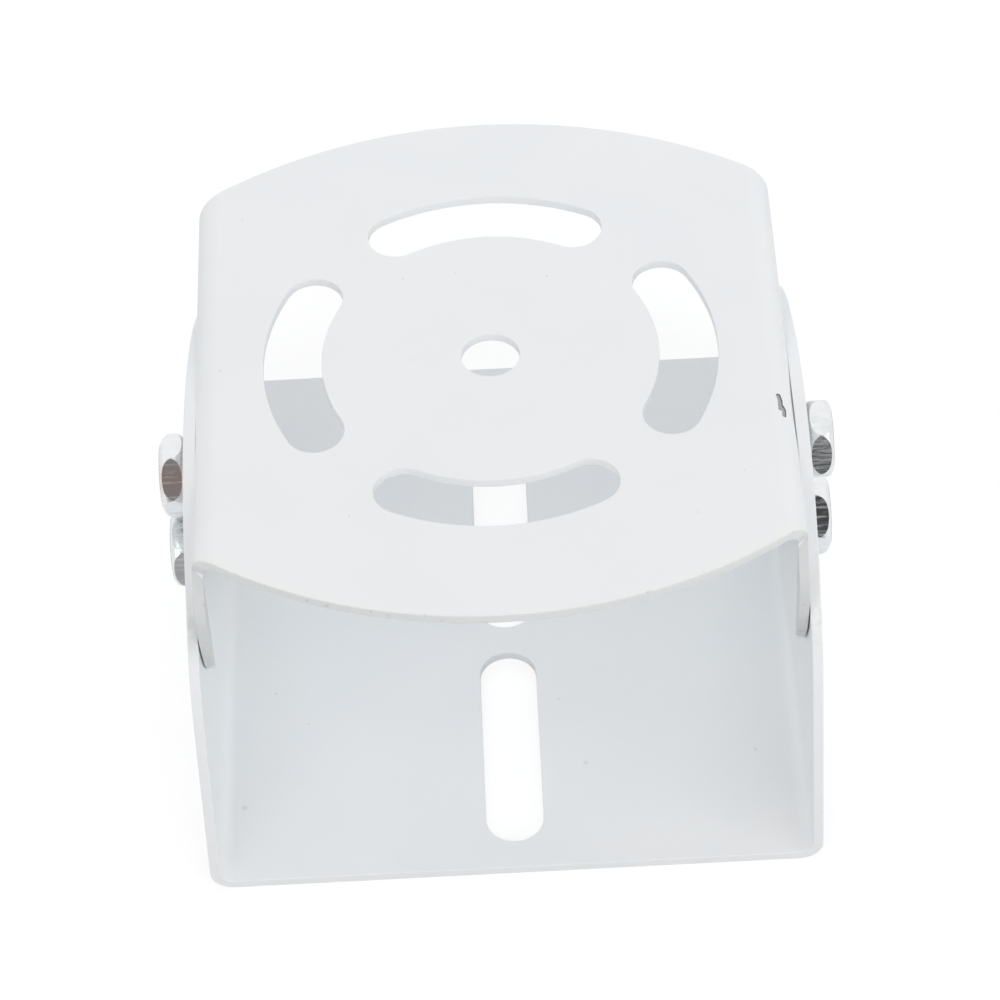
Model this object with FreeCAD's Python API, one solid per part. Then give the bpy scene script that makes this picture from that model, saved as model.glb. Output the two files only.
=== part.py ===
import FreeCAD, Part
import os
from math import acos, atan2, cos, hypot, pi, radians, sin, sqrt, tan
from FreeCAD import Placement, Rotation, Vector

# A tilting camera bracket: two folded sheet steel channels, one inside the other, held by two hexagon
# bolts on each side that screw into tapped holes of the inner channel's ears. Millimetres. +X is to the
# right, +Y to the back and +Z up. The origin lies on the underside of the lower channel's web, at its middle.

# Coated sheet that both channels are folded from
sheet = 1.4
bend_inner_radius = 1.8

# Upper channel: the plate carries the camera, the ears hang down between the lower channel's ears. The
# plate's round ends lie at the given reaches in front of and behind its round hole, and the ears are round
# about the pivot, from an inset behind the plate's front end
top_width = 80.0
plate_front_reach = 46.0
plate_back_reach = 45.5
plate_arc_radius = 67.0
plate_height = 52.0
plate_setback = 1.0
upper_ear_inset = 9.0
upper_ear_shoulder_lean = 41.0
upper_ear_corner_radius = 5.0

# Holes of the plate: a round hole and a ring of arc slots around it
centre_hole_diameter = 7.9
arc_slot_width = 7.9
arc_slot_radius = 26.7
arc_slot_half_angle = 27.3
arc_slot_count = 4

# Lower channel: the web is fixed to the wall or pole, the ears stand outside the upper channel's ears
ear_gap = 0.25
web_length = 94.0
web_slot_width = 7.9
web_slot_land = 4.8
web_slot_front_margin = 4.45
web_slot_back_margin = 17.95
lower_ear_drop = 1.7
lower_ear_crown_radius = 32.0
lower_ear_back_radius = 61.2

# Tilt: the upper bolts are the pivot, the lower ones lock the angle and slide in an arc slot of the lower
# ears. The pivot's place is measured from the plate's front end and down from the plate's top
pivot_inset = 35.0
pivot_drop = 9.0
lock_distance = 15.0
tilt_limit = 40.0
pivot_clearance = 0.08
lock_clearance = 0.25

# Tapped holes of the upper ears, each drawn out into a collar on the ear's inner side
thread_clearance = 0.02
collar_wall = 0.5
collar_height = 1.6

# M6 hexagon bolts, their heads turned as they came to rest when they were tightened
thread_diameter = 6.0
bolt_length = 8.0
bolt_tip_chamfer = 0.8
hexagon_width = 10.0
head_height = 3.5
head_land = 0.9
head_bevel = 40.0
head_turns = {"pivot_left": 13.5, "pivot_right": 36.5, "lock_left": 56.0, "lock_right": 27.0}

# Sizes and places that follow from those above
bend_outer_radius = bend_inner_radius + sheet
lower_width = top_width + 2 * (ear_gap + sheet)
plate_ends = {-1: plate_setback - plate_front_reach, 1: plate_setback + plate_back_reach}
pivot = (plate_ends[-1] + pivot_inset, plate_height - pivot_drop)
upper_ear_radius = pivot_inset - upper_ear_inset
lock = (pivot[0], pivot[1] - lock_distance)
web_slot_length = (web_length - web_slot_front_margin - web_slot_back_margin - web_slot_land) / 2
web_slot_setback = (web_slot_front_margin - web_slot_back_margin) / 2
head_seat = lower_width / 2
upper_ear_inner_face = top_width / 2 - sheet


def line(start, end):
    return Part.LineSegment(start, end).toShape()


def arc(start, middle, end):
    return Part.Arc(start, middle, end).toShape()


def plan(x, y):
    return Vector(x, y, 0)


def side(place):
    # a place (y, z) of the side view
    return Vector(0, place[0], place[1])


def on_circle(centre, radius, angle):
    # angles of the side view run from +Y towards +Z
    return (centre[0] + radius * cos(angle), centre[1] + radius * sin(angle))


def heading(start, end):
    return atan2(end[1] - start[1], end[0] - start[0])


def distance(start, end):
    return hypot(end[0] - start[0], end[1] - start[1])


def touch_angle(point, centre, radius, way):
    # where a straight line from an outside point touches a circle
    return heading(centre, point) + way * acos(radius / distance(centre, point))


def meeting(first, first_radius, second, second_radius, way):
    # the point that lies at the given distances from two centres
    gap = distance(first, second)
    along = (first_radius ** 2 - second_radius ** 2 + gap ** 2) / (2 * gap)
    across = way * sqrt(first_radius ** 2 - along ** 2)
    turn = heading(first, second)
    return (first[0] + along * cos(turn) - across * sin(turn),
            first[1] + along * sin(turn) + across * cos(turn))


def prism(edges, way):
    # a closed outline drawn out along one axis, to equal depths on both sides of the outline's plane
    face = Part.Face(Part.Wire(edges))
    face.translate(way * -0.5)
    return face.extrude(way)


def across_ears():
    return Vector(2 * lower_width, 0, 0)


def channel(width, height, length):
    # a folded channel that lies on its web, with its ears standing up; drawn in the front view
    half = width / 2
    outer = bend_outer_radius
    outer_corner = outer * (1 - cos(pi / 4))
    inner_corner = sheet + bend_inner_radius * (1 - cos(pi / 4))

    def at(x, z):
        return Vector(x, 0, z)

    edges = [line(at(-half + outer, 0), at(half - outer, 0)),
             line(at(half - outer, sheet), at(-half + outer, sheet))]
    for hand in (-1, 1):
        skin = hand * half
        face = hand * (half - sheet)
        start = hand * (half - outer)
        edges += [
            arc(at(start, 0), at(hand * (half - outer_corner), outer_corner), at(skin, outer)),
            line(at(skin, outer), at(skin, height)),
            line(at(skin, height), at(face, height)),
            line(at(face, height), at(face, outer)),
            arc(at(face, outer), at(hand * (half - inner_corner), inner_corner), at(start, sheet)),
        ]
    return prism(Part.__sortEdges__(edges), Vector(0, length, 0))


def arc_slot(place, radius, width, middle, half_angle, way):
    # a slot with round ends that follows an arc; place turns a distance and an angle into a point
    half = width / 2
    ends = (middle - half_angle, middle + half_angle)
    inner = [place(radius - half, angle) for angle in (ends[0], middle, ends[1])]
    outer = [place(radius + half, angle) for angle in (ends[0], middle, ends[1])]
    swing = atan2(half, radius)
    tips = [place(hypot(radius, half), ends[0] - swing), place(hypot(radius, half), ends[1] + swing)]
    return prism([arc(*inner), arc(inner[2], tips[1], outer[2]), arc(*reversed(outer)),
                  arc(outer[0], tips[0], inner[0])], way)


def straight_slot(width, length, middle, way):
    # a slot with round ends that runs along Y
    half = width / 2
    low = middle - length / 2 + half
    high = middle + length / 2 - half
    return prism([line(plan(-half, low), plan(-half, high)),
                  arc(plan(-half, high), plan(0, high + half), plan(half, high)),
                  line(plan(half, high), plan(half, low)),
                  arc(plan(half, low), plan(0, low - half), plan(-half, low))], way)


def cross_bore(place, diameter):
    # a round hole through the ears of both sides
    start = side(place) - across_ears() * 0.5
    return Part.makeCylinder(diameter / 2, across_ears().x, start, Vector(1, 0, 0))


def on_plate(reach, angle):
    return plan(reach * cos(angle), plate_setback + reach * sin(angle))


def about_pivot(reach, angle):
    return side(on_circle(pivot, reach, angle))


def make_lower_bracket():
    half = web_length / 2
    crown = (pivot[0], plate_height - lower_ear_drop - lower_ear_crown_radius)
    front_foot = (-half, bend_outer_radius)
    back_foot = (half, bend_outer_radius)
    back_centre = meeting(crown, lower_ear_back_radius - lower_ear_crown_radius,
                          back_foot, lower_ear_back_radius, -1)
    crown_angles = (touch_angle(front_foot, crown, lower_ear_crown_radius, -1) + 2 * pi,
                    heading(back_centre, crown))
    back_angles = (crown_angles[1], heading(back_centre, back_foot))
    crown_points = [side(on_circle(crown, lower_ear_crown_radius, angle))
                    for angle in (crown_angles[0], sum(crown_angles) / 2, crown_angles[1])]
    back_middle = side(on_circle(back_centre, lower_ear_back_radius, sum(back_angles) / 2))
    outline = [
        line(side((-half, 0)), side(front_foot)),
        line(side(front_foot), crown_points[0]),
        arc(*crown_points),
        arc(crown_points[2], back_middle, side(back_foot)),
        line(side(back_foot), side((half, 0))),
        line(side((half, 0)), side((-half, 0))),
    ]
    body = channel(lower_width, 2 * plate_height, web_length)
    body = body.common(prism(outline, across_ears()))
    half_pitch = (web_slot_length + web_slot_land) / 2
    for middle in (web_slot_setback - half_pitch, web_slot_setback + half_pitch):
        body = body.cut(straight_slot(web_slot_width, web_slot_length, middle, Vector(0, 0, 4 * sheet)))
    body = body.cut(cross_bore(pivot, thread_diameter + 2 * pivot_clearance))
    return body.cut(arc_slot(about_pivot, lock_distance, thread_diameter + 2 * lock_clearance,
                             heading(pivot, lock), radians(tilt_limit), across_ears()))


def plate_edge(way, reach):
    # how far back or forward the plate's curved end lies at a distance from the middle plane
    return plate_ends[way] - way * (plate_arc_radius - sqrt(plate_arc_radius ** 2 - reach ** 2))


def plate_outline():
    half = top_width / 2
    edges = []
    corners = {}
    for way in (-1, 1):
        corners[way] = [plan(hand * half, plate_edge(way, half)) for hand in (-1, 1)]
        edges.append(arc(corners[way][0], plan(0, plate_edge(way, 0)), corners[way][1]))
    for hand in (0, 1):
        edges.append(line(corners[-1][hand], corners[1][hand]))
    return Part.__sortEdges__(edges)


def upper_ear_outline(top):
    # the ear widens below the plate's front corner, ends round about the pivot and leans back to the plate
    front = (plate_edge(-1, top_width / 2), top)
    back = (plate_edge(1, top_width / 2), top)
    lean = radians(upper_ear_shoulder_lean)
    down = (-sin(lean), -cos(lean))
    corner = upper_ear_corner_radius
    inset = (front[0] + corner * cos(lean), front[1] - corner * sin(lean))
    along = (inset[0] - pivot[0]) * down[0] + (inset[1] - pivot[1]) * down[1]
    run = sqrt(along ** 2 - distance(pivot, inset) ** 2 + (upper_ear_radius - corner) ** 2) - along
    centre = (inset[0] + run * down[0], inset[1] + run * down[1])
    corner_angles = (pi - lean, heading(pivot, centre) % (2 * pi))
    round_angles = (corner_angles[1], touch_angle(back, pivot, upper_ear_radius, -1) + 2 * pi)
    corner_points = [side(on_circle(centre, corner, angle))
                     for angle in (corner_angles[0], sum(corner_angles) / 2, corner_angles[1])]
    round_points = [side(on_circle(pivot, upper_ear_radius, angle))
                    for angle in (round_angles[0], sum(round_angles) / 2, round_angles[1])]
    return [
        line(side(front), corner_points[0]),
        arc(*corner_points),
        arc(*round_points),
        line(round_points[2], side(back)),
        line(side(back), side(front)),
    ]


def make_upper_bracket():
    folded = channel(top_width, plate_height, 2 * (plate_front_reach + plate_back_reach))
    folded.rotate(Vector(0, 0, 0), Vector(0, 1, 0), 180)
    folded.translate(Vector(0, plate_setback, plate_height))
    bend_line = plate_height - bend_outer_radius
    plate_blank = prism(plate_outline(), Vector(0, 0, 2 * bend_outer_radius))
    plate_blank.translate(Vector(0, 0, plate_height))
    plate = folded.common(plate_blank)
    ears = folded.common(prism(upper_ear_outline(bend_line), across_ears()))
    body = plate.fuse(ears).removeSplitter()
    through = Vector(0, 0, 3 * plate_height)
    hole = Part.makeCylinder(centre_hole_diameter / 2, 2 * plate_height, plan(0, plate_setback))
    body = body.cut(hole)
    for index in range(arc_slot_count):
        middle = 2 * pi * index / arc_slot_count
        body = body.cut(arc_slot(on_plate, arc_slot_radius, arc_slot_width, middle,
                                 radians(arc_slot_half_angle), through))
    for place in (pivot, lock):
        for hand in (-1, 1):
            body = body.fuse(make_collar(hand, place))
        body = body.cut(cross_bore(place, thread_diameter + 2 * thread_clearance))
    return body


def fitted(shape, hand, reach, place, turn):
    # lays a shape made along +Z out to the left or right, turned about its own axis
    laid = Rotation(Vector(1, 0, 0), turn).multiply(Rotation(Vector(0, 1, 0), hand * 90))
    shape.Placement = Placement(Vector(hand * reach, place[0], place[1]), laid)
    return shape


def make_collar(hand, place):
    # the sheet drawn inwards round a tapped hole
    radius = thread_diameter / 2 + thread_clearance + collar_wall
    tube = Part.makeCylinder(radius, collar_height + sheet / 2, Vector(0, 0, -collar_height))
    return fitted(tube, hand, upper_ear_inner_face, place, 0)


def turned(profile):
    # a profile of (radius, height) corners, from the axis back to the axis, turned about Z
    corners = [Vector(radius, 0, height) for radius, height in profile]
    return Part.Face(Part.makePolygon(corners + corners[:1])).revolve(Vector(0, 0, 0), Vector(0, 0, 1), 360)


def make_bolt(hand, place, turn):
    # the head stands on the ground plane, its corners bevelled conically at both ends, the shank below it
    corner = hexagon_width / sqrt(3)
    hexagon = [plan(corner * cos(pi * index / 3), corner * sin(pi * index / 3)) for index in range(7)]
    block = Part.Face(Part.makePolygon(hexagon)).extrude(Vector(0, 0, head_height))
    land = head_land * hexagon_width / 2
    rim = 0.6 * hexagon_width
    drop = (rim - land) * tan(radians(head_bevel))
    bevel = turned([(0, 0), (land, 0), (rim, drop), (rim, head_height - drop), (land, head_height),
                    (0, head_height)])
    shank_radius = thread_diameter / 2
    shank = turned([(0, 0), (shank_radius, 0), (shank_radius, bolt_tip_chamfer - bolt_length),
                    (shank_radius - bolt_tip_chamfer, -bolt_length), (0, -bolt_length)])
    return fitted(block.common(bevel).fuse(shank), hand, head_seat, place, turn)


parts = {"lower_bracket": make_lower_bracket(), "upper_bracket": make_upper_bracket()}
for use, place in (("pivot", pivot), ("lock", lock)):
    for hand, name in ((-1, "left"), (1, "right")):
        parts[use + "_bolt_" + name] = make_bolt(hand, place, head_turns[use + "_" + name])

os.makedirs("parts", exist_ok=True)
for name, shape in parts.items():
    shape.exportStep("parts/" + name + ".step")
    box = shape.BoundBox
    print(name, shape.isValid(), len(shape.Solids), round(shape.Volume, 1),
          [round(value, 2) for value in (box.XMin, box.YMin, box.ZMin, box.XMax, box.YMax, box.ZMax)])
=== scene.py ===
from math import atan, cos, pi, radians, sin, sqrt

import bpy
from mathutils import Matrix, Vector


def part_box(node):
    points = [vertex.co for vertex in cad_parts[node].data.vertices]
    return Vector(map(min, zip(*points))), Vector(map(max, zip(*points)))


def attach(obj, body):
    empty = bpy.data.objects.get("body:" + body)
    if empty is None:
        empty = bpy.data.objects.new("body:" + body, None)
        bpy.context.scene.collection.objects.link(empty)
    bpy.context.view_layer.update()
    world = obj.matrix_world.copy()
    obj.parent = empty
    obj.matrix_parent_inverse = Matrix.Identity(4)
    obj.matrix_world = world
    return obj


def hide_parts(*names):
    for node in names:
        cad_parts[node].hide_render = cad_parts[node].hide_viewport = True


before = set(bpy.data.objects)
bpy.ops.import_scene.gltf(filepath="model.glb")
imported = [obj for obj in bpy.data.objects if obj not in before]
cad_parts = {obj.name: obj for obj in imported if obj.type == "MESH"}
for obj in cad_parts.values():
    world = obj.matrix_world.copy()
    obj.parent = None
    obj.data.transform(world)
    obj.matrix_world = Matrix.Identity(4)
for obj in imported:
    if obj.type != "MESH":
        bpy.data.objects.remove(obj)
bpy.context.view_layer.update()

MM = 0.001

# Meshes: points closer than this are one, faces that turn by less than this are one flat, and edges that turn
# by more than the last angle are rounded. Then the number of segments of a rounded edge and of a circle
MERGE_DISTANCE = 0.002 * MM
FLAT_ANGLE = radians(0.6)
SHARP_ANGLE = radians(35)
ROUND_SEGMENTS = 3
ROUND_STEPS = 96

# Edges of the folded sheets, as the coating rounds them
SHEET_EDGE_RADIUS = {"lower_bracket": 0.17 * MM, "upper_bracket": 0.28 * MM}

# The clamped outer ears lean in towards their crowns, with both faces on the left and the inner face on the
# right: the range of x that holds the faces and how far they move at the top, in millimetres, and then the
# share of it at each height. The last height is above the ears
EAR_LEANS = [(-45, -38, 0.24), (38, 41, -0.2)]
LEAN_LEVELS = [(32.5, 0.0), (34.5, 0.1), (36.5, 0.3), (38.5, 0.55), (40.5, 0.78), (42.5, 0.95), (44.5, 1.0),
               (60, 1.0)]
# Above this height the inner faces lean in further, by a slope
CROWN_LEVEL = 47.3
CROWN_LEANS = [(-41.1, -38, 0.1), (38, 41, -0.04)]

# M6 bolts. The head's corners are rounded towards both ends: depth from the end and radius, in millimetres
ACROSS_FLATS = 10.0 * MM
HEAD_HEIGHT = 3.5 * MM
HEAD_ROUND = [(0.0, 4.3), (0.2, 4.72), (0.42, 5.04), (0.62, 5.29), (0.9, 5.49), (1.3, 5.66), (1.75, 5.74)]
FORGED_EDGE_RADIUS = 0.3 * MM
THREAD_DIAMETER = 6.0 * MM
THREAD_CORE_DIAMETER = 4.9 * MM
THREAD_PITCH = 1.0 * MM
TIP_CHAMFER = 0.6 * MM
SHANK_OVERLAP = 0.2 * MM
# the thread's vee: half its width at the root and at the crest, as shares of the pitch, and its root as a
# share of the core, so that it is set into it
VEE_ROOT = 0.48
VEE_CREST = 0.06
VEE_SET_IN = 0.98

# How far each hexagon is turned from a flat that faces the back, in degrees, and how far it sits up and
# back from the bolt's axis. The left bolts are drawn in with their ear, and the right ones just clear theirs
HEAD_TURNS = {"pivot_left": 18.5, "pivot_right": 38.3, "lock_left": 49.5, "lock_right": 17.0}
HEAD_LIFTS = {"pivot_left": 0.12 * MM, "pivot_right": 0.4 * MM,
              "lock_left": 0.3 * MM, "lock_right": 0.4 * MM}
DRAWN_IN = {"left": 0.22 * MM, "right": -0.01 * MM}
# which way along x each side lies
HANDS = {"left": -1, "right": 1}

# Colours, as red, green and blue look from 0 to 255
WHITE = (255, 255, 255)
COAT = (244, 246, 248)
COAT_CLOUD = (246, 247, 248)
# the creamy arris colour, also lighter than the coat as a painted highlight
CREAM_AND_HIGHLIGHT = (247, 248, 245)
# the cut edge's colours: grey of the thin coat and partly painted shade, lighter towards its top
CUT_EDGE_GREY_AND_SHADE = (222, 224, 224)
CUT_EDGE_TOP_LESS_SHADE = (235, 237, 236)
NICK = (120, 118, 110)
PLATE_SPECK = (110, 110, 106)
PLATE_SMUDGE = (150, 140, 120)
BASE_SPECK = (110, 112, 110)
BASE_SMUDGE = (120, 128, 116)
BARE_STEEL = (150, 151, 154)
BARE_STEEL_BRIGHT = (178, 179, 182)
# painted shadow on the far side of the chips
CHIP_SHADOW = (66, 67, 70)
ZINC = (238, 240, 241)
ZINC_PATCH = (224, 230, 230)
ZINC_STAIN = (238, 216, 211)
FLOOR = (200, 201, 203)
FLOOR_IN_VIEW = (160, 160, 160)
# painted dark reflection: the floor's front as the metal mirrors it
PAINTED_TABLE_EDGE_REFLECTION = (60, 60, 60)
ROOM_TINT = (255, 252, 252)

# Powder coat, with a faint orange peel and hardly visible clouds. Noise is given here and below by its
# repeats per metre and its detail, and patches of it also by the range of its value over which they come in
COAT_ROUGHNESS = 0.42
COAT_IOR = 1.5
PEEL = (700, 2)
PEEL_DEPTH = 0.004 * MM
CLOUDS = (60, 3, 0.35, 0.7)

# The plate's front edge is an arc, and the coat is thin along it: creamy on the arris, which is also lighter
# there as a painted highlight; greyer on the cut edge under it, partly as painted shade that lightens towards
# its top; and nicked in places. Places, and distances from the edge over which each comes in, are in
# millimetres
FRONT_EDGE_CENTRE = (0.0, 22.0)
FRONT_EDGE_RADIUS = 67.0
FRONT_FROM_Y = (-10, -20)
CORNERS_FROM_X = (10, 34)
CREAM_AND_HIGHLIGHT_WIDTH = (1.8, 0.3)
CREAM_AND_HIGHLIGHT_AT_MIDDLE = 0.3
CUT_EDGE_WIDTH = (0.2, 0.05)
NICK_WIDTH = (0.5, 0.3)
NICKS = (1100, 3, 0.66, 0.72)
NICK_STRENGTH = 0.22
PLATE_TOP_FROM_Z = (50.2, 51.4)
CUT_EDGE_SHADE_LIFTS_FROM_Z = (49, 50.5)

# Marks in the coat, in millimetres: chips as lines of places (x, y) with a half width, and how far the
# painted shadow of the coat reaches into them; specks as places with a size; and smudges as a place, a size
# and the patches that break them up. The softness of a mark's border is a share of its size
CHIPS = [([(37.92, -9.1), (38.1, -10.0), (38.04, -11.5)], 0.31),
         ([(38.3, -11.0), (38.5, -11.5), (38.42, -12.6)], 0.26)]
CHIP_SHADOW_REACH = (0.16, 0.24, 0)
CHIP_GRAIN = (2600, 2)
CHIP_SOFTNESS = 0.12
SPECK_SOFTNESS = 0.5
SMUDGE_SOFTNESS = 0.6
PLATE_SPECKS = [((8.25, 15.4, 52), 0.16), ((-11.5, 16.3, 52), 0.14), ((-4.3, 16.9, 52), 0.12),
                ((-10.7, 0.8, 52), 0.12), ((-36.4, 0.6, 52), 0.18), ((-33.6, 29.4, 52), 0.12),
                ((-19.3, -26.7, 52), 0.12), ((32.4, -22.3, 52), 0.12), ((25.9, -29.2, 52), 0.12)]
PLATE_SPECK_STRENGTH = 0.2
BASE_SPECKS = [((-32.9, -14.5, 1.4), 0.22), ((-28.3, -20.3, 1.4), 0.18), ((-37.2, -34.5, 1.4), 0.35),
               ((10.2, -29.7, 1.4), 0.3), ((33.8, -28.8, 1.4), 0.22), ((39.3, -0.5, 1.4), 0.2),
               ((7.0, -18.1, 1.4), 0.18)]
BASE_SPECK_STRENGTH = 0.15
INNER_EAR_SMUDGE = ((39.2, -33.5, 32.2), 1.5, (900, 3, 0.4, 0.6))
INNER_EAR_SMUDGE_STRENGTH = 0.2
LEFT_EAR_SMUDGE = ((-40.6, -34.3, 39.2), 3.2, (700, 3, 0.3, 0.62))
RIGHT_EAR_SMUDGE = ((41.2, -35.5, 36.5), 3.0, (1100, 3, 0.5, 0.62))
RIGHT_EAR_SMUDGE_SHARE = 0.5
OUTER_EAR_SMUDGE_STRENGTH = 0.16

# Bright zinc: drawn marks that run along the axis, patches, and a faint brown stain on the left pivot bolt
ZINC_IOR = 1.5
STREAKS = (2400, 4)
STREAK_STRETCH = (0.1, 1, 1)
STREAK_DEPTH = 0.012 * MM
ROUGH_STREAKS_FROM = (0.42, 0.7)
STREAK_ROUGHNESS = 0.28
POLISH_ROUGHNESS = 0.1
ZINC_PATCHES = (420, 2, 0.45, 0.75)
ZINC_PATCH_STRENGTH = 0.6
STAIN_PLACE = (-43.2, -13.7, 46.3)
STAIN_SIZE = 2.3
STAIN_SOFTNESS = 0.4
STAIN_STRENGTH = 0.8

# Light: the pale room round the bracket, and the softboxes in it by name, heading from the front towards
# the right, angle above the floor, power and colour
ROOM = 0.555
SOFTBOX_DISTANCE = 1.2
SOFTBOX_SIZE = 0.6
SOFTBOX_TARGET = (0, 0, 0.03)
SOFTBOXES = [("left_softbox", -60, 15, 1.5, (0.88, 1.0, 0.96)),
             ("right_softbox", 60, 15, 3.2, (0.93, 1.0, 1.0)),
             ("back_softbox", 180, 32, 4.2, (0.9, 1.0, 1.03)),
             ("front_left_softbox", -30, 40, 1.95, (1.03, 1.0, 1.0)),
             ("front_right_softbox", 30, 40, 1.5, (1.0, 1.0, 0.99))]

# What polished metal mirrors, as ranges of the direction (a unit vector) over which each part comes in: a
# dull ceiling, and the unlit room in front, a little darker on the right
CEILING_FROM = (0.955, 0.99)
CEILING_DULLNESS = 0.42
UNLIT_FROM = (-0.4, -0.62)
UNLIT_HALF_WIDTH = (0.45, 0.3)
UNLIT_DARKNESS = 0.76
UNLIT_RIGHT_FROM = (-0.07, 0.04)
UNLIT_RIGHT_MORE = 0.18

# The floor, in metres. For mirror rays only, it glows, and its front part is painted dark: a painted
# reflection in the metal that stands in for the dull edge of a table
FLOOR_SIZE = 30
FLOOR_ROUGHNESS = 0.9
FLOOR_GLOW_IN_VIEW = 0.72
FLOOR_GLOW_MIRRORED = 0.4
PAINTED_REFLECTION_EDGE_FROM_Y = (-0.042, -0.058)
PAINTED_REFLECTION_EDGE_SHARE = 0.6
PAINTED_REFLECTION_FRONT_FROM_Y = (-0.1, -0.3)
PAINTED_REFLECTION_FRONT_SHARE = 0.4
PAINTED_REFLECTION_HALF_WIDTH = (0.14, 0.1)

# Camera: its place, its turns in degrees about Z, about X and about its own axis, and its lens and sensor
# in millimetres
EYE = (2.99 * MM, -366.29 * MM, 432.11 * MM)
HEADING = 0.441
TILT = 41.894
ROLL = -3.313
LENS = 141.4
SENSOR = 36.0
NEAREST = 0.01
FARTHEST = 100


class Shade:
    """A socket of a material or the world; arithmetic on it adds the Math nodes that work it out."""

    def __init__(self, tree, socket=None):
        self.tree = tree
        self.socket = socket

    def node(self, kind, inputs=(), output=0, **settings):
        made = self.tree.nodes.new("ShaderNode" + kind)
        for key, value in settings.items():
            setattr(made, key, value)
        for key, value in dict(inputs).items():
            if isinstance(value, Shade):
                self.tree.links.new(value.socket, made.inputs[key])
            else:
                made.inputs[key].default_value = value
        return Shade(self.tree, made.outputs[output])

    def math(self, operation, *values, clamp=False):
        return self.node("Math", enumerate(values), operation=operation, use_clamp=clamp)

    def vector(self, operation, *others, output=0):
        return self.node("VectorMath", enumerate((self,) + others), output, operation=operation)

    def scaled(self, vector):
        # a fixed vector times this value
        return self.node("VectorMath", {0: vector, 3: self}, operation="SCALE")

    def parts(self, names):
        return [self.node("SeparateXYZ", {0: self}, name) for name in names]

    def from_above(self):
        # this place in millimetres, without its height
        return self.vector("MULTIPLY", (1 / MM, 1 / MM, 0))

    def __add__(self, other):
        return self.math("ADD", self, other)

    __radd__ = __add__

    def __sub__(self, other):
        return self.math("SUBTRACT", self, other)

    def __rsub__(self, other):
        return self.math("SUBTRACT", other, self)

    def __mul__(self, other):
        return self.math("MULTIPLY", self, other)

    __rmul__ = __mul__

    def __abs__(self):
        return self.math("ABSOLUTE", self)

    def ramp(self, low, high):
        # 0 below low, 1 above high, smooth between; low above high turns it round
        settings = {"interpolation_type": "SMOOTHSTEP", "clamp": True}
        return self.node("MapRange", {0: self, 1: low, 2: high}, **settings)

    def either(self, other):
        return self.math("MAXIMUM", self, other)

    def tint(self, factor, base, colour):
        # colours are red, green and blue as they look, from 0 to 255
        inputs = {0: factor, 6: paint(base), 7: paint(colour)}
        return self.node("Mix", inputs, 2, data_type="RGBA")


def paint(colour):
    if isinstance(colour, Shade):
        return colour
    return tuple(((value / 255 + 0.055) / 1.055) ** 2.4 for value in colour) + (1.0,)


def merged(marks):
    # the strongest of some marks at each place
    whole = marks[0]
    for mark in marks[1:]:
        whole = whole.either(mark)
    return whole


class Material:
    """A new material with one principled shader; its pattern reads places in metres."""

    def __init__(self, name, **plain):
        self.material = bpy.data.materials.new(name)
        self.material.use_nodes = True
        self.tree = self.material.node_tree
        self.shader = self.tree.nodes["Principled BSDF"]
        self.start = Shade(self.tree)
        self.place = self.start.node("TexCoord", output="Object")
        for key, value in plain.items():
            self.shader.inputs[key.replace("_", " ")].default_value = value

    def feed(self, key, value):
        self.tree.links.new(value.socket, self.shader.inputs[key])

    def noise(self, scale, detail, stretch=None):
        place = self.place.vector("MULTIPLY", stretch) if stretch else self.place
        inputs = {"Vector": place, "Scale": scale, "Detail": detail}
        return self.start.node("TexNoise", inputs, noise_dimensions="3D")

    def patches(self, scale, detail, low, high):
        return self.noise(scale, detail).ramp(low, high)

    def near(self, point, size, softness):
        # a spot round a place given in millimetres
        offset = self.place.vector("SUBTRACT", [value * MM for value in point])
        reach = offset.vector("LENGTH", output=1)
        return reach.ramp(size * (1 + softness) * MM, size * (1 - softness) * MM)

    def stroke(self, points, width, place):
        # a mark along a line of places (x, y) in millimetres, seen from above
        place = place.from_above()
        marks = []
        for (x, y), (next_x, next_y) in zip(points, points[1:]):
            along = (next_x - x, next_y - y, 0)
            offset = place.vector("SUBTRACT", (x, y, 0))
            share = offset.vector("DOT_PRODUCT", along, output=1)
            share = share.math("MULTIPLY", share, 1 / (along[0] ** 2 + along[1] ** 2), clamp=True)
            apart = offset.vector("DISTANCE", share.scaled(along), output=1)
            marks.append(apart.ramp(width * (1 + CHIP_SOFTNESS), width * (1 - CHIP_SOFTNESS)))
        return merged(marks)

    def bump(self, height, depth):
        # height runs from 0 to 1 over a depth in metres
        inputs = {"Height": height, "Distance": depth, "Strength": 1.0}
        self.feed("Normal", self.start.node("Bump", inputs))


def select(*pieces):
    bpy.ops.object.select_all(action="DESELECT")
    for piece in pieces:
        piece.select_set(True)
    bpy.context.view_layer.objects.active = pieces[0]


def edit(piece):
    select(piece)
    bpy.ops.object.mode_set(mode="EDIT")


def leave_edit():
    bpy.ops.object.mode_set(mode="OBJECT")


def settle(piece):
    # puts a finished piece's place into its mesh
    select(piece)
    bpy.ops.object.transform_apply(location=True, rotation=True, scale=True)
    return piece


def linked(name, data):
    piece = bpy.data.objects.new(name, data)
    bpy.context.scene.collection.objects.link(piece)
    return piece


def finish_with(piece, kind, **settings):
    select(piece)
    modifier = piece.modifiers.new(kind.lower(), kind)
    for key, value in settings.items():
        setattr(modifier, key, value)
    bpy.ops.object.modifier_apply(modifier=modifier.name)


def round_edges(piece, radius):
    finish_with(piece, "BEVEL", width=radius, segments=ROUND_SEGMENTS, limit_method="ANGLE",
                angle_limit=SHARP_ANGLE, use_clamp_overlap=True, harden_normals=False)
    select(piece)
    bpy.ops.object.shade_smooth_by_angle(angle=SHARP_ANGLE)
    finish_with(piece, "WEIGHTED_NORMAL", keep_sharp=True)


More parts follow.
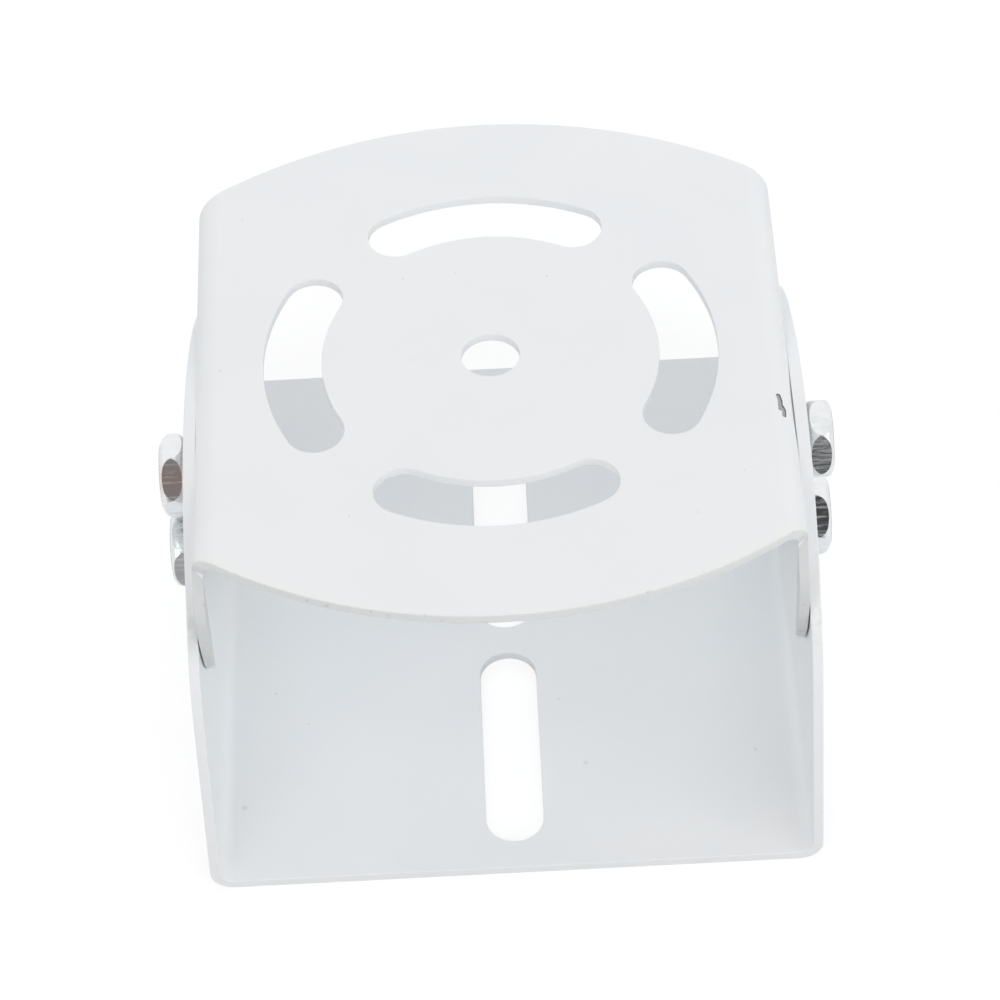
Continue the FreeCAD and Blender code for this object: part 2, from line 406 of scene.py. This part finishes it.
def finished(piece, name, body, node, material):
    piece.name = name
    piece.data.name = name
    piece.data.materials.clear()
    piece.data.materials.append(material)
    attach(piece, body)
    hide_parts(node)


def cleaned(piece):
    # one face for each flat
    edit(piece)
    bpy.ops.mesh.select_all(action="SELECT")
    bpy.ops.mesh.remove_doubles(threshold=MERGE_DISTANCE)
    bpy.ops.mesh.dissolve_limited(angle_limit=FLAT_ANGLE)
    bpy.ops.mesh.normals_make_consistent(inside=False)
    leave_edit()
    return piece


def copy_of_node(node):
    # the node's own solid as clean faces, ready to have its edges rounded
    piece = linked(node + "_copy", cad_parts[node].data.copy())
    edit(piece)
    bpy.ops.mesh.customdata_custom_splitnormals_clear()
    leave_edit()
    return cleaned(piece)


def powder_coat(name):
    coat = Material(name, Roughness=COAT_ROUGHNESS, IOR=COAT_IOR)
    coat.bump(coat.noise(*PEEL), PEEL_DEPTH)
    return coat, coat.start.tint(coat.patches(*CLOUDS), COAT, COAT_CLOUD)


def specks_of(coat, specks):
    return merged([coat.near(place, size, SPECK_SOFTNESS) for place, size in specks])


def smudge_of(coat, smudge):
    place, size, patches = smudge
    return coat.near(place, size, SMUDGE_SOFTNESS) * coat.patches(*patches)


def coat_of_plate():
    coat, white = powder_coat("white_powder_coat_on_plate")
    start = coat.start
    level = coat.place.from_above()
    reach = level.vector("DISTANCE", FRONT_EDGE_CENTRE + (0,), output=1)
    across, deep = level.parts("XY")
    height = coat.place.parts("Z")[0] * (1 / MM)
    front = deep.ramp(*FRONT_FROM_Y)
    corners = abs(across).ramp(*CORNERS_FROM_X)
    top = height.ramp(*PLATE_TOP_FROM_Z)
    cream_and_highlight, cut_edge, nicked = (reach.ramp(*(FRONT_EDGE_RADIUS - width for width in widths))
                               for widths in (CREAM_AND_HIGHLIGHT_WIDTH, CUT_EDGE_WIDTH, NICK_WIDTH))
    # creamy along the front arris, most of all at the corners, and lighter there as a painted highlight;
    # greyer on the cut edge under it, partly as painted shade that lightens towards its top
    cream_and_highlight = cream_and_highlight * front * (CREAM_AND_HIGHLIGHT_AT_MIDDLE + corners * (1 - CREAM_AND_HIGHLIGHT_AT_MIDDLE)) * top
    colour = start.tint(cream_and_highlight, white, CREAM_AND_HIGHLIGHT)
    cut_edge_grey_and_shade = start.tint(height.ramp(*CUT_EDGE_SHADE_LIFTS_FROM_Z), CUT_EDGE_GREY_AND_SHADE, CUT_EDGE_TOP_LESS_SHADE)
    colour = start.tint(cut_edge * front, colour, cut_edge_grey_and_shade)
    nicks = coat.patches(*NICKS) * nicked
    colour = start.tint(nicks * front * NICK_STRENGTH, colour, NICK)
    colour = start.tint(specks_of(coat, PLATE_SPECKS) * PLATE_SPECK_STRENGTH, colour, PLATE_SPECK)
    smudge = smudge_of(coat, INNER_EAR_SMUDGE)
    colour = start.tint(smudge * INNER_EAR_SMUDGE_STRENGTH, colour, PLATE_SMUDGE)
    # the chip shows grey metal, and its far side is painted dark as the coat's own shadow
    lit_place = coat.place.vector("ADD", [value * MM for value in CHIP_SHADOW_REACH])
    chip = merged([coat.stroke(points, width, coat.place) for points, width in CHIPS]) * top
    lit = merged([coat.stroke(points, width, lit_place) for points, width in CHIPS])
    colour = start.tint(chip, colour, start.tint(coat.noise(*CHIP_GRAIN), BARE_STEEL, BARE_STEEL_BRIGHT))
    coat.feed("Base Color", start.tint(chip * (1 - lit), colour, CHIP_SHADOW))
    return coat.material


def coat_of_base():
    coat, white = powder_coat("white_powder_coat_on_base")
    specks = specks_of(coat, BASE_SPECKS)
    colour = coat.start.tint(specks * BASE_SPECK_STRENGTH, white, BASE_SPECK)
    left = smudge_of(coat, LEFT_EAR_SMUDGE)
    right = smudge_of(coat, RIGHT_EAR_SMUDGE) * RIGHT_EAR_SMUDGE_SHARE
    smudge = left.either(right) * OUTER_EAR_SMUDGE_STRENGTH
    coat.feed("Base Color", coat.start.tint(smudge, colour, BASE_SMUDGE))
    return coat.material


def bright_zinc():
    zinc = Material("bright_zinc", Metallic=1.0, IOR=ZINC_IOR)
    streaks = zinc.noise(*STREAKS, STREAK_STRETCH)
    colour = zinc.start.tint(zinc.patches(*ZINC_PATCHES) * ZINC_PATCH_STRENGTH, ZINC, ZINC_PATCH)
    stain = zinc.near(STAIN_PLACE, STAIN_SIZE, STAIN_SOFTNESS)
    zinc.feed("Base Color", zinc.start.tint(stain * STAIN_STRENGTH, colour, ZINC_STAIN))
    zinc.feed("Roughness", POLISH_ROUGHNESS + streaks.ramp(*ROUGH_STREAKS_FROM) * STREAK_ROUGHNESS)
    zinc.bump(streaks, STREAK_DEPTH)
    return zinc.material


def turned(points):
    # a solid turned about the X axis from a profile of (x, radius) points that starts and ends on the axis
    mesh = bpy.data.meshes.new("profile")
    vertices = [(x, radius, 0) for x, radius in points]
    mesh.from_pydata(vertices, [(i, i + 1) for i in range(len(points) - 1)], [])
    piece = linked("turned", mesh)
    edit(piece)
    bpy.ops.mesh.select_all(action="SELECT")
    bpy.ops.mesh.spin(steps=ROUND_STEPS, angle=2 * pi, center=(0, 0, 0), axis=(1, 0, 0))
    bpy.ops.mesh.select_all(action="SELECT")
    bpy.ops.mesh.remove_doubles(threshold=MERGE_DISTANCE)
    bpy.ops.mesh.normals_make_consistent(inside=False)
    leave_edit()
    return piece


def hexagon_blank():
    # a hexagon bar along +X from the seat at x = 0, one flat facing +Y
    bpy.ops.mesh.primitive_cylinder_add(vertices=6, radius=ACROSS_FLATS / sqrt(3), depth=HEAD_HEIGHT,
                                        location=(HEAD_HEIGHT / 2, 0, 0), rotation=(0, pi / 2, 0))
    piece = settle(bpy.context.active_object)
    piece.matrix_world = Matrix.Rotation(pi / 6, 4, "X")
    return settle(piece)


def head_blank():
    # a hexagon whose corners are rounded off towards both ends, as forging leaves them
    outline = [(depth * MM, radius * MM) for depth, radius in HEAD_ROUND]
    outline += [(HEAD_HEIGHT - depth, radius) for depth, radius in reversed(outline[:-1])]
    head = hexagon_blank()
    rounding = turned([(0, 0)] + outline + [(HEAD_HEIGHT, 0)])
    finish_with(head, "BOOLEAN", operation="INTERSECT", object=rounding, solver="EXACT")
    bpy.data.objects.remove(rounding)
    round_edges(cleaned(head), FORGED_EDGE_RADIUS)
    return head


def thread(length):
    # a vee ridge wound round the shank's core, from the tip at x = -length towards the head
    core = THREAD_CORE_DIAMETER / 2 * VEE_SET_IN
    crest = THREAD_DIAMETER / 2
    root = THREAD_PITCH * VEE_ROOT
    flat = THREAD_PITCH * VEE_CREST
    mesh = bpy.data.meshes.new("vee")
    mesh.from_pydata([(-root, core, 0), (-flat, crest, 0), (flat, crest, 0), (root, core, 0)],
                     [(0, 1), (1, 2), (2, 3), (3, 0)], [])
    piece = linked("thread", mesh)
    turns = int((length - TIP_CHAMFER) / THREAD_PITCH) - 1
    finish_with(piece, "SCREW", axis="X", angle=2 * pi, screw_offset=THREAD_PITCH, iterations=turns,
                steps=ROUND_STEPS // 2, render_steps=ROUND_STEPS // 2)
    edit(piece)
    bpy.ops.mesh.select_all(action="SELECT")
    bpy.ops.mesh.fill_holes(sides=4)
    bpy.ops.mesh.normals_make_consistent(inside=False)
    leave_edit()
    piece.location.x = -length + TIP_CHAMFER + root
    return settle(piece)


def shank_blank(length):
    core = THREAD_CORE_DIAMETER / 2
    shank = turned([(-length, 0), (-length, core - TIP_CHAMFER / 2), (-length + TIP_CHAMFER, core),
                    (SHANK_OVERLAP, core), (SHANK_OVERLAP, 0)])
    select(shank, thread(length))
    bpy.ops.object.shade_smooth_by_angle(angle=SHARP_ANGLE)
    bpy.ops.object.join()
    return shank


def lay(blank, hand, seat, centre, turn):
    # a copy of a piece made along +X, laid to the left or right and turned about its axis
    piece = linked(blank.name, blank.data.copy())
    spin = Matrix.Rotation(radians(turn), 4, "X")
    face = Matrix.Rotation(0 if hand > 0 else pi, 4, "Y")
    piece.matrix_world = Matrix.Translation((hand * seat, centre.y, centre.z)) @ spin @ face
    return settle(piece)


def fit_bolts():
    zinc = bright_zinc()
    low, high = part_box("pivot_bolt_right")
    head = head_blank()
    shank = shank_blank((high.x - low.x) - HEAD_HEIGHT)
    for use in ("pivot", "lock"):
        for side, hand in HANDS.items():
            node = use + "_bolt_" + side
            low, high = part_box(node)
            seat = max(abs(low.x), abs(high.x)) - HEAD_HEIGHT - DRAWN_IN[side]
            # the head sits a little off the axis, and the shank is on it
            axis = (low + high) / 2
            lift = HEAD_LIFTS[use + "_" + side]
            bolt = lay(head, hand, seat, axis + Vector((0, lift, lift)), HEAD_TURNS[use + "_" + side])
            select(bolt, lay(shank, hand, seat, axis, 0))
            bpy.ops.object.join()
            finished(bolt, node + "_zinc", "tilting_plate", node, zinc)
    bpy.data.objects.remove(head)
    bpy.data.objects.remove(shank)


def lean(piece, low, high, level, slope):
    # turns what is above a level and between two places along x, so that it leans by a slope along x
    bpy.ops.mesh.select_all(action="DESELECT")
    leave_edit()
    above = [vertex for vertex in piece.data.vertices
             if low * MM < vertex.co.x < high * MM and vertex.co.z > level * MM - MERGE_DISTANCE]
    hinge = min(above, key=lambda vertex: vertex.co.z).co.copy()
    for vertex in above:
        vertex.select = True
    bpy.ops.object.mode_set(mode="EDIT")
    bpy.ops.transform.rotate(value=-atan(slope), orient_axis="Y", center_override=hinge)


def draw_ears_together(piece):
    # the ears are cut at each level first, so that they bend smoothly
    levels = [level for level, share in LEAN_LEVELS[:-1]]
    edit(piece)
    bpy.ops.mesh.select_mode(type="VERT")
    for level in levels + [CROWN_LEVEL]:
        bpy.ops.mesh.select_all(action="SELECT")
        bpy.ops.mesh.bisect(plane_co=(0, 0, level * MM), plane_no=(0, 0, 1))
    for low, high, shift in EAR_LEANS:
        before = 0.0
        for (level, share), (next_level, next_share) in zip(LEAN_LEVELS, LEAN_LEVELS[1:]):
            slope = shift * (next_share - share) / (next_level - level)
            lean(piece, low, high, level, slope - before)
            before = slope
    for low, high, slope in CROWN_LEANS:
        lean(piece, low, high, CROWN_LEVEL, slope)
    leave_edit()


def coat_brackets():
    base = copy_of_node("lower_bracket")
    draw_ears_together(base)
    plate = copy_of_node("upper_bracket")
    for piece, node, body, material in ((base, "lower_bracket", "base", coat_of_base()),
                                        (plate, "upper_bracket", "tilting_plate", coat_of_plate())):
        round_edges(piece, SHEET_EDGE_RADIUS[node])
        finished(piece, node + "_coated", body, node, material)


def softbox(name, heading, height, power, colour):
    heading = radians(heading)
    height = radians(height)
    across = SOFTBOX_DISTANCE * cos(height)
    data = bpy.data.lights.new(name, "AREA")
    data.shape = "SQUARE"
    data.size = SOFTBOX_SIZE
    data.energy = power
    data.color = colour
    lamp = linked(name, data)
    lamp.location = (across * sin(heading), -across * cos(heading), SOFTBOX_DISTANCE * sin(height))
    lamp.rotation_euler = (Vector(SOFTBOX_TARGET) - lamp.location).to_track_quat("-Z", "Y").to_euler()
    # the bolt heads mirror the ones at the sides only
    lamp.visible_glossy = pi / 4 < abs(heading) < pi / 2


def make_floor():
    bpy.ops.mesh.primitive_plane_add(size=FLOOR_SIZE, location=(0, 0, 0))
    floor = bpy.context.active_object
    floor.name = "floor"
    look = Material("white_floor", Roughness=FLOOR_ROUGHNESS, Specular_IOR_Level=0.0, Emission_Strength=1.0)
    start = look.start
    seen = start.node("LightPath", output="Is Camera Ray")
    mirrored = start.node("LightPath", output="Is Glossy Ray")
    across, deep = look.place.parts("XY")
    # painted reflection: for mirror rays only, the floor's front is dark like a table edge
    edge = deep.ramp(*PAINTED_REFLECTION_EDGE_FROM_Y) * PAINTED_REFLECTION_EDGE_SHARE
    dull = edge + deep.ramp(*PAINTED_REFLECTION_FRONT_FROM_Y) * PAINTED_REFLECTION_FRONT_SHARE
    dull = dull * mirrored * abs(across).ramp(*PAINTED_REFLECTION_HALF_WIDTH)
    colour = start.tint(seen, FLOOR, FLOOR_IN_VIEW)
    look.feed("Base Color", start.tint(dull, colour, PAINTED_TABLE_EDGE_REFLECTION))
    # in view the floor glows towards white; for mirror rays it glows too, a painted reflection, except where
    # painted dark
    glow = seen * FLOOR_GLOW_IN_VIEW + mirrored * (1 - dull) * FLOOR_GLOW_MIRRORED
    look.feed("Emission Color", glow.scaled((1, 1, 1)))
    floor.data.materials.append(look.material)


def make_light():
    for settings in SOFTBOXES:
        softbox(*settings)
    world = bpy.data.worlds.new("studio")
    bpy.context.scene.world = world
    world.use_nodes = True
    room = Shade(world.node_tree)
    seen = room.node("LightPath", output="Is Camera Ray")
    mirrored = room.node("LightPath", output="Is Glossy Ray")
    across, deep, up = room.node("TexCoord", output="Generated").parts("XYZ")
    ceiling = up.ramp(*CEILING_FROM) * CEILING_DULLNESS
    unlit = deep.ramp(*UNLIT_FROM) * abs(across).ramp(*UNLIT_HALF_WIDTH)
    unlit = unlit * (UNLIT_DARKNESS + across.ramp(*UNLIT_RIGHT_FROM) * UNLIT_RIGHT_MORE)
    strength = ROOM + mirrored * ((1 - ceiling) * (1 - unlit) - ROOM)
    colour = room.tint(seen.either(mirrored), ROOM_TINT, WHITE)
    background = world.node_tree.nodes["Background"]
    world.node_tree.links.new(strength.either(seen).socket, background.inputs["Strength"])
    world.node_tree.links.new(colour.socket, background.inputs["Color"])


def make_camera():
    data = bpy.data.cameras.new("camera")
    data.lens = LENS
    data.sensor_width = SENSOR
    data.clip_start = NEAREST
    data.clip_end = FARTHEST
    camera = linked("camera", data)
    turn = Matrix.Rotation(radians(HEADING), 4, "Z") @ Matrix.Rotation(radians(TILT), 4, "X")
    camera.matrix_world = Matrix.Translation(EYE) @ turn @ Matrix.Rotation(radians(ROLL), 4, "Z")
    bpy.context.scene.camera = camera


coat_brackets()
fit_bolts()
make_floor()
make_light()
make_camera()
bpy.context.scene.view_settings.view_transform = "Standard"
